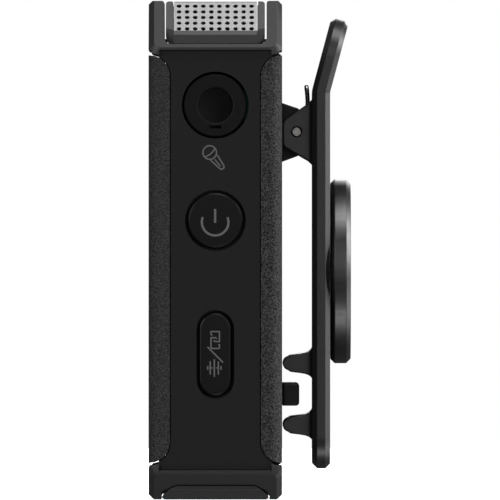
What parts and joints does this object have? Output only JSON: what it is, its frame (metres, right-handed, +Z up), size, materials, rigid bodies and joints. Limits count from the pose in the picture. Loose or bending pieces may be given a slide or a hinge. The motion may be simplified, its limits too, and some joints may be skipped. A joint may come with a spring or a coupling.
{
  "type": "lavalier microphone",
  "caption": "Clip-on wireless lavalier microphone: slim upright body, guarded mesh head, side buttons and socket, sprung back clip with a magnet disc.",
  "frame": {"origin": "centre of the body's bottom face, midway between the front and back covers and between the two sides", "axes": "+Z up towards the mesh head, -Y the front, +Y the back with the clip, +X the side with the jack socket and two buttons"},
  "size_m": [0.0286, 0.0203, 0.0498],
  "materials": {
    "frame": "fine matt black",
    "cover": "fine leather-like grain",
    "guard": "satin dark grey",
    "head": "satin dark grey",
    "mesh": "satin",
    "foam": "open foam",
    "steel": "polished",
    "rubber": "matt",
    "board": "solder mask",
    "cell": "foil pouch",
    "ceramic": "ceramic",
    "lamp": "frosted",
    "black": "satin",
    "lever": "satin dark grey",
    "disc": "dark metallic",
    "gold": "gold plated",
    "button": "satin"
  },
  "bodies": {
    "body": {"mid_frame": "frame", "front_cover": "cover", "back_cover": "cover", "top_guard": "guard", "head_frame": "head", "grille_mesh": "mesh", "wind_foam": "foam", "mic_capsule": "steel", "capsule_boot": "rubber", "mic_board": "board", "bottom_guard": "guard", "base_block": "guard", "main_board": "board", "shield_can": "steel", "battery_pad": "foam", "battery": "cell", "antenna": "ceramic", "button_board": "board", "rec_board": "board", "status_lamp": "lamp", "light_guide": "lamp", "jack_socket": "black", "jack_collar": "black", "usb_shell": "steel", "usb_tongue": "black", "clip_bracket": "black", "backing_plate": "steel", "grip_block": "black", "hinge_pin": "steel", "clip_spring": "steel", "charge_contact_1": "gold", "charge_contact_2": "gold", "charge_contact_3": "gold", "charge_contact_4": "gold", "jack_contact_1": "gold", "jack_contact_2": "gold", "jack_contact_3": "gold", "bracket_screw_1": "steel", "bracket_screw_2": "steel", "power_switch": "black", "link_switch": "black", "rec_switch": "black"},
    "lever": {"clip_lever": "lever", "lever_steel": "steel"},
    "magnet_disc": {"magnet_cap": "disc", "magnet_back": "steel", "magnet": "steel"},
    "power_key": {"power_button": "button", "power_plunger": "steel"},
    "link_key": {"link_button": "button", "link_plunger": "steel"},
    "rec_key": {"rec_button": "button", "rec_plunger": "steel"}
  },
  "joints": [
    {"name": "clip_hinge", "type": "hinge", "parent": "body", "child": "lever", "pos_m": [0, 0.00813, 0.03675], "axis": [1, 0, 0], "range_deg": [0, 22], "stiffness_Nm_per_rad": 0.1, "springref_deg": -17.19, "deforming": ["clip_spring"]},
    {"name": "magnet_lift", "type": "slide", "parent": "lever", "child": "magnet_disc", "axis": [0, 1, 0], "range_m": [0, 0.015]},
    {"name": "power_press", "type": "slide", "parent": "body", "child": "power_key", "axis": [-1, 0, 0], "range_m": [0, 0.00035], "stiffness_N_per_m": 2000, "springref_m": -0.0005},
    {"name": "link_press", "type": "slide", "parent": "body", "child": "link_key", "axis": [-1, 0, 0], "range_m": [0, 0.00035], "stiffness_N_per_m": 2000, "springref_m": -0.0005},
    {"name": "rec_press", "type": "slide", "parent": "body", "child": "rec_key", "axis": [1, 0, 0], "range_m": [0, 0.00035], "stiffness_N_per_m": 2000, "springref_m": -0.0005}
  ]
}
